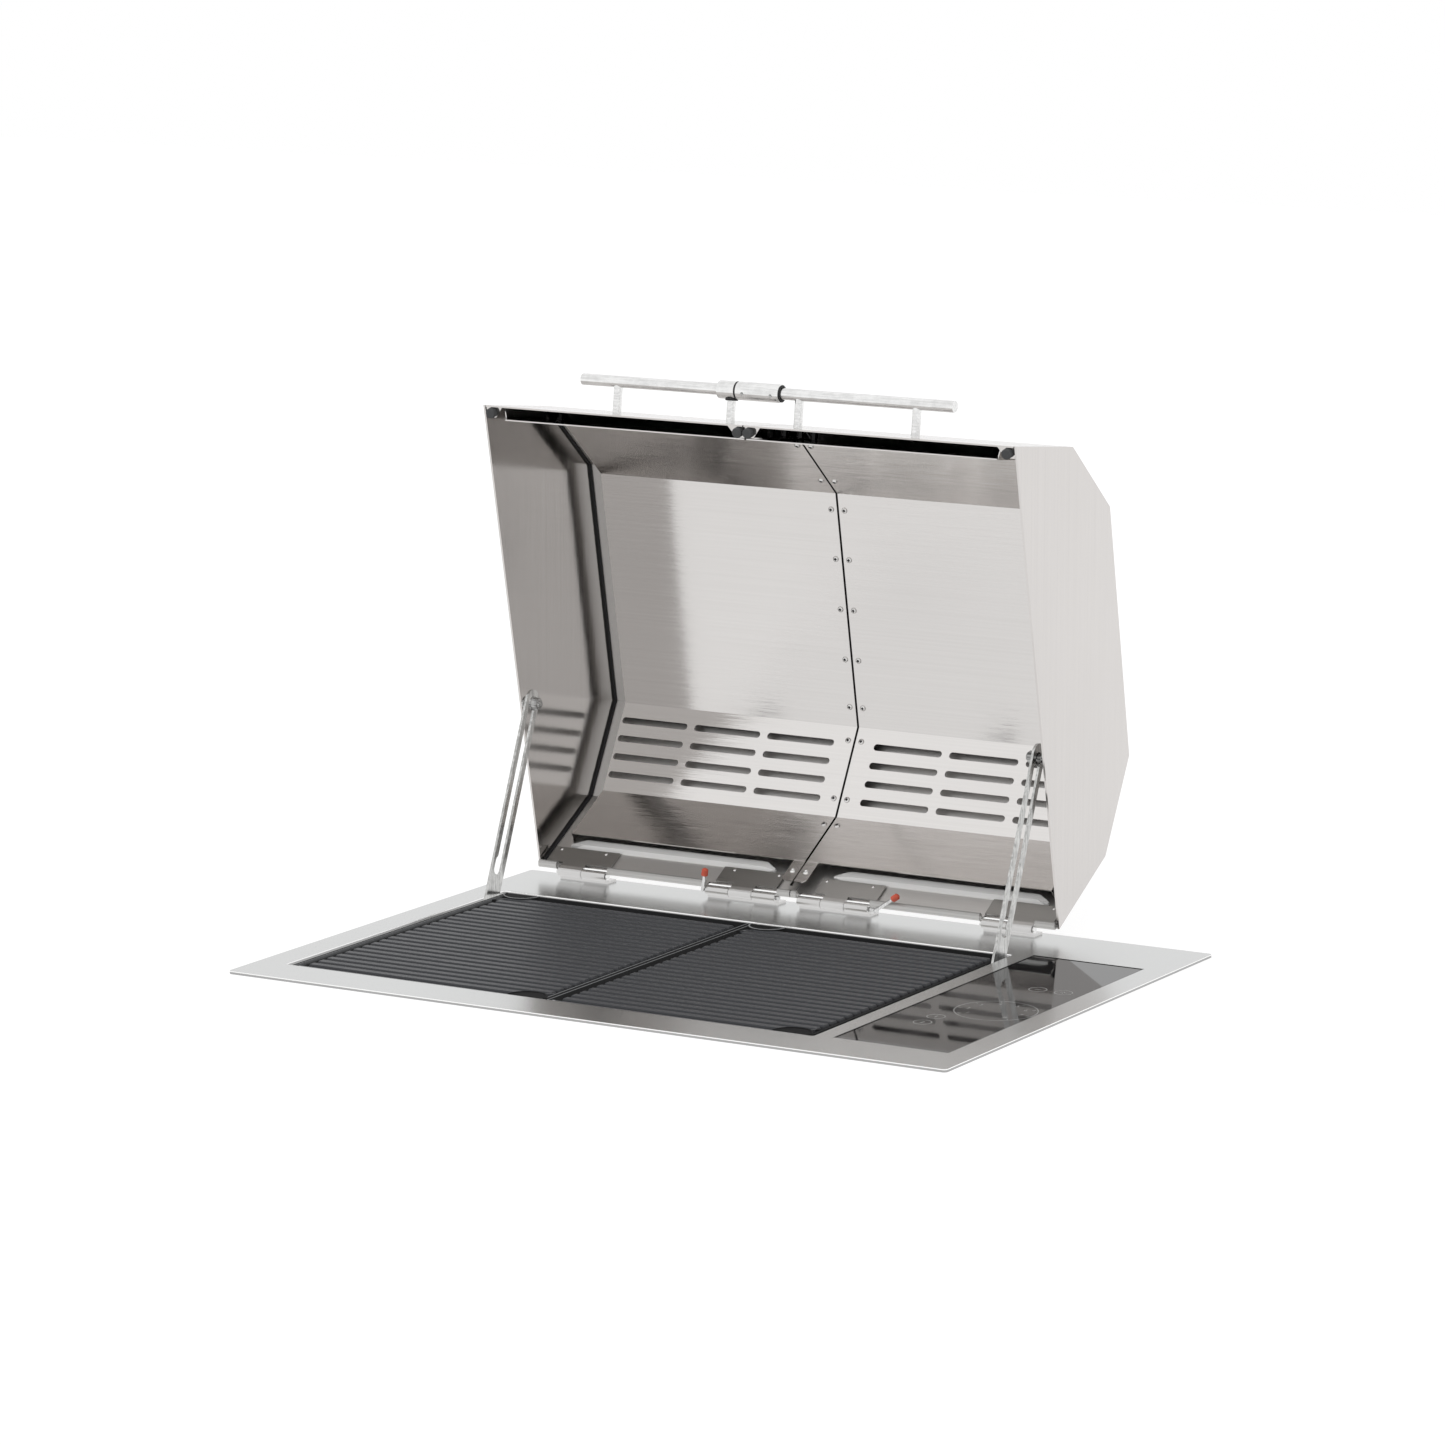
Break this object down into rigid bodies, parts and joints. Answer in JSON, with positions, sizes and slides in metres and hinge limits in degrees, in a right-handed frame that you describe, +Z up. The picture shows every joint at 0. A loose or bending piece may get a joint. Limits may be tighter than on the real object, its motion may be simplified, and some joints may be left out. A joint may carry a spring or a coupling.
{
  "type": "built-in electric grill",
  "caption": "Drop-in electric grill with ribbed cast grates side by side, a touch-glass strip and a faceted double-wall lid held open by slotted stays.",
  "frame": {"origin": "centre of the pan's underside, where the grill stands when it is out of its worktop", "axes": "+X to the right as the user faces the grill, +Y to the back, +Z up"},
  "size_m": [0.775, 0.6664, 0.6316],
  "materials": {
    "brushed_stainless": "finely brushed, bright",
    "polished_stainless": "polished",
    "galvanised_steel": "dull zinc",
    "cast_grate": "dark satin non-stick coat",
    "element_sheath": "heat-darkened",
    "aluminium_tray": "plain rolled",
    "black_glass": "opaque black, mirror-smooth",
    "housing_plastic": "black, matt",
    "circuit_board": "green board",
    "bumper_rubber": "dark grey, matt",
    "red_cap": "red vinyl dip",
    "terminal_ceramic": "unglazed ceramic",
    "gland_plastic": "black nylon"
  },
  "bodies": {
    "base": {"deck": "brushed_stainless", "base_pan": "galvanised_steel", "firebox": "brushed_stainless", "centre_support": "brushed_stainless", "heating_element_left": "element_sheath", "heating_element_right": "element_sheath", "element_bridge_left": "galvanised_steel", "element_bridge_right": "galvanised_steel", "terminal_block_left": "terminal_ceramic", "terminal_block_right": "terminal_ceramic", "drip_tray_left": "aluminium_tray", "drip_tray_right": "aluminium_tray", "control_glass": "black_glass", "control_housing": "housing_plastic", "touch_board": "circuit_board", "power_board": "circuit_board", "junction_box": "galvanised_steel", "cable_gland": "gland_plastic", "base_leaf_inner_left": "brushed_stainless", "base_leaf_inner_right": "brushed_stainless", "base_leaf_outer_left": "brushed_stainless", "base_leaf_outer_right": "brushed_stainless", "hinge_pin_left": "polished_stainless", "hinge_pin_right": "polished_stainless", "stay_screw_left": "polished_stainless", "stay_screw_right": "polished_stainless"},
    "lid": {"lid_skin_left": "brushed_stainless", "lid_skin_right": "brushed_stainless", "lid_side_left": "brushed_stainless", "lid_side_right": "brushed_stainless", "lid_liner_left": "brushed_stainless", "lid_liner_right": "brushed_stainless", "seam_strip": "brushed_stainless", "bumper_outer_left": "bumper_rubber", "bumper_inner_left": "bumper_rubber", "bumper_inner_right": "bumper_rubber", "bumper_outer_right": "bumper_rubber", "handle_bar_left": "polished_stainless", "handle_bar_right": "polished_stainless", "handle_sleeve": "polished_stainless", "handle_collar": "polished_stainless", "lid_leaf_inner_left": "brushed_stainless", "lid_leaf_inner_right": "brushed_stainless", "lid_leaf_outer_left": "brushed_stainless", "lid_leaf_outer_right": "brushed_stainless", "stay_stud_left": "polished_stainless", "stay_stud_right": "polished_stainless"},
    "stay_left": {"stay_arm_left": "polished_stainless"},
    "stay_nut_left": {"stay_nut_left": "polished_stainless"},
    "stay_right": {"stay_arm_right": "polished_stainless"},
    "stay_nut_right": {"stay_nut_right": "polished_stainless"},
    "grate_left": {"grate_left": "cast_grate"},
    "grate_right": {"grate_right": "cast_grate"},
    "release_left": {"release_pin_left": "polished_stainless", "release_cap_left": "red_cap"},
    "release_right": {"release_pin_right": "polished_stainless", "release_cap_right": "red_cap"}
  },
  "joints": [
    {"name": "lid_hinge", "type": "hinge", "parent": "base", "child": "lid", "pos_m": [-0.0665, 0.246, 0.108], "axis": [1, 0, 0], "range_deg": [0, 79.2]},
    {"name": "stay_left_pivot", "type": "hinge", "parent": "base", "child": "stay_left", "pos_m": [-0.3545, 0.131, 0.07], "axis": [1, 0, 0], "range_deg": [0, 76.9]},
    {"name": "stay_left_stud_slide", "type": "slide", "parent": "stay_left", "child": "stay_nut_left", "axis": [0, -0.3832, -0.9237], "range_m": [0, 0.1545]},
    {"name": "stay_right_pivot", "type": "hinge", "parent": "base", "child": "stay_right", "pos_m": [0.2215, 0.131, 0.07], "axis": [1, 0, 0], "range_deg": [0, 76.9]},
    {"name": "stay_right_stud_slide", "type": "slide", "parent": "stay_right", "child": "stay_nut_right", "axis": [0, -0.3832, -0.9237], "range_m": [0, 0.1545]},
    {"name": "grate_left_lift", "type": "slide", "parent": "base", "child": "grate_left", "axis": [0, 0, 1], "range_m": [0, 0.06]},
    {"name": "grate_right_lift", "type": "slide", "parent": "base", "child": "grate_right", "axis": [0, 0, 1], "range_m": [0, 0.06]},
    {"name": "release_pin_left_pull", "type": "slide", "parent": "lid", "child": "release_left", "axis": [-1, 0, 0], "range_m": [0, 0.078]},
    {"name": "release_pin_right_pull", "type": "slide", "parent": "lid", "child": "release_right", "axis": [1, 0, 0], "range_m": [-0.0068, 0.0712]}
  ],
  "couplings": [
    {"joint": "stay_left_pivot", "follows": "lid_hinge", "ratio": 0.9695},
    {"joint": "stay_left_stud_slide", "follows": "lid_hinge", "m_per_rad": 0.11163},
    {"joint": "stay_right_pivot", "follows": "lid_hinge", "ratio": 0.9695},
    {"joint": "stay_right_stud_slide", "follows": "lid_hinge", "m_per_rad": 0.11163}
  ]
}
